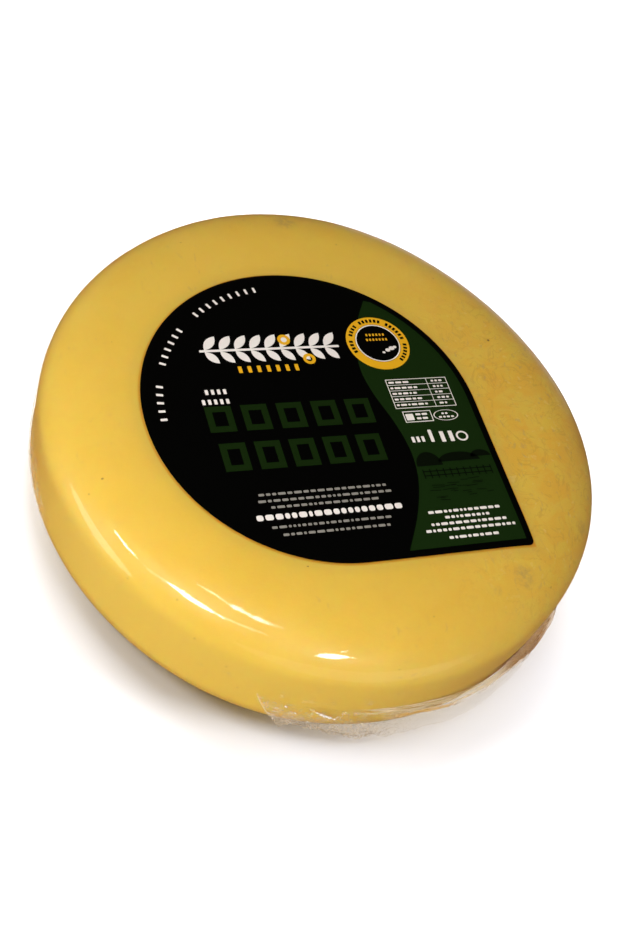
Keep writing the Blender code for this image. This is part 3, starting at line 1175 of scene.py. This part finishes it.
# Narrow lamps that the film mirrors, all at one distance: azimuth and elevation in degrees of each
# end, width in metres and radiance. They make the long glint, the left one, the upper row and the
# near shoulder's.
GLINT_DISTANCE = 0.7
GLINTS = (
    (-151.5, 17.2, -135.0, 21.3, 0.085, 40), (-159.0, 9.0, -150.0, 18.2, 0.045, 3),
    (-133.8, 20.4, -131.8, 20.9, 0.045, 26), (-134.0, 21.4, -116.5, 25.8, 0.035, 6),
    (-173.1, 14.6, -163.1, 12.0, 0.045, 26),
    (-146.5, 47.5, -134.3, 47.0, 0.040, 12), (-133.2, 46.4, -125.2, 46.2, 0.080, 26),
    (-124.4, 45.6, -116.0, 45.2, 0.072, 26), (-117.0, 45.8, -111.0, 46.4, 0.035, 5),
    (-98.8, 14.0, -90.6, 21.0, 0.088, 36), (-101.5, 12.5, -98.0, 14.4, 0.026, 14),
    (-92.5, 19.0, -88.0, 19.0, 0.030, 24), (-91.2, 29.0, -89.2, 29.0, 0.026, 40),
)
# Pale patches on the floor that the film mirrors: middle, turn in degrees, length, width, radiance.
# The first two show low on the left, then one on the near shoulder and one on the far rim.
PATCH_HEIGHT = 0.002
FLOOR_PATCHES = (
    (-0.204, -0.0165, -28.7, 0.168, 0.064, 3.2),
    (-0.204, -0.0165, -28.7, 0.115, 0.040, 3.4),
    (0.000, -0.235, 0.0, 0.300, 0.210, 0.65),
    (0.420, 0.400, 45.0, 0.900, 0.300, 0.8),
)


def make_floor():
    """A pale floor. The film doesn't mirror it, as the patches stand for what it would."""
    bpy.ops.mesh.primitive_plane_add(size=FLOOR_SIZE)
    floor = bpy.context.object
    floor.name = "floor"
    n = Nodes("floor")
    floor.data.materials.append(n.solid(FLOOR_COLOUR, 0.7, 0.1))
    floor.visible_glossy = False


def aimed(azimuth, elevation):
    turn, rise = math.radians(azimuth), math.radians(elevation)
    level = math.cos(rise)
    return Vector((math.cos(turn) * level, math.sin(turn) * level, math.sin(rise)))


def add_light(name, shape, width, height, watts):
    data = bpy.data.lights.new(name, "AREA")
    data.shape = shape
    data.size = width
    data.size_y = height
    data.energy = watts
    light = bpy.data.objects.new(name, data)
    light.visible_camera = False
    bpy.context.scene.collection.objects.link(light)
    return light


def make_soft_lights(rows, place, receivers):
    """Round soft lights that the film doesn't mirror, for their own receivers alone."""
    distance, width = place
    for azimuth, elevation, watts in rows:
        light = add_light("soft", "DISK", width, width, watts)
        way = aimed(azimuth, elevation)
        light.location = LIGHT_AIM + way * distance
        light.rotation_euler = way.to_track_quat("Z", "Y").to_euler()
        light.visible_glossy = False
        light.light_linking.receiver_collection = receivers


def add_mirrored_light(name, length, width, radiance):
    """An oval lamp that only the film's mirror sees, by its radiance."""
    watts = radiance * math.pi * math.pi * length * width / 4
    light = add_light(name, "ELLIPSE", length, width, watts)
    light.visible_diffuse = False
    return light


def make_glints():
    for first_turn, first_rise, last_turn, last_rise, width, radiance in GLINTS:
        start = aimed(first_turn, first_rise) * GLINT_DISTANCE
        end = aimed(last_turn, last_rise) * GLINT_DISTANCE
        light = add_mirrored_light("glint", (end - start).length, width, radiance)
        out = (start + end).normalized()
        across = (end - start).normalized()
        axes = Matrix((across, out.cross(across), out)).transposed().to_4x4()
        light.matrix_world = Matrix.Translation(LIGHT_AIM + (start + end) / 2) @ axes


def make_floor_patches():
    for x, y, turn, length, width, radiance in FLOOR_PATCHES:
        light = add_mirrored_light("patch", length, width, radiance)
        light.location = (x, y, PATCH_HEIGHT)
        light.rotation_euler = (math.pi, 0, math.radians(turn))


def make_lights():
    wheel = bpy.data.collections.new("lit_wheel")
    floor = bpy.data.collections.new("lit_floor")
    for thing in bpy.context.scene.objects:
        if thing.type == "MESH":
            (floor if thing.name == "floor" else wheel).objects.link(thing)
    make_soft_lights(WHEEL_LIGHTS, WHEEL_LIGHT_PLACE, wheel)
    make_soft_lights(FLOOR_LIGHTS, FLOOR_LIGHT_PLACE, floor)
    make_glints()
    make_floor_patches()


def make_world():
    world = bpy.data.worlds.new("studio")
    bpy.context.scene.world = world
    world.use_nodes = True
    background = world.node_tree.nodes["Background"]
    background.inputs["Color"].default_value = WORLD_COLOUR
    background.inputs["Strength"].default_value = WORLD_STRENGTH


# Camera: where it stands, and which way it looks in degrees
CAMERA_PLACE = Vector((-0.146845, -0.194473, 0.312917))
VIEW_AZIMUTH = 37.204
VIEW_ELEVATION = 50.626
VIEW_ROLL = 25.973
LENS_MM = 50
SENSOR_MM = 36


def make_camera():
    data = bpy.data.cameras.new("camera")
    data.lens = LENS_MM
    data.sensor_width = SENSOR_MM
    data.clip_start = 0.01
    camera = bpy.data.objects.new("camera", data)
    look = (
        Matrix.Rotation(-math.radians(VIEW_AZIMUTH), 4, "Z")
        @ Matrix.Rotation(math.radians(90 - VIEW_ELEVATION), 4, "X")
        @ Matrix.Rotation(math.radians(VIEW_ROLL), 4, "Z")
    )
    camera.matrix_world = Matrix.Translation(CAMERA_PLACE) @ look
    bpy.context.scene.collection.objects.link(camera)
    bpy.context.scene.camera = camera


make_camera()
make_floor()
make_world()
bpy.context.scene.view_settings.view_transform = "Standard"
make_cheese()
make_film_skin()
make_film_seal()
make_label()
make_print()
make_lights()
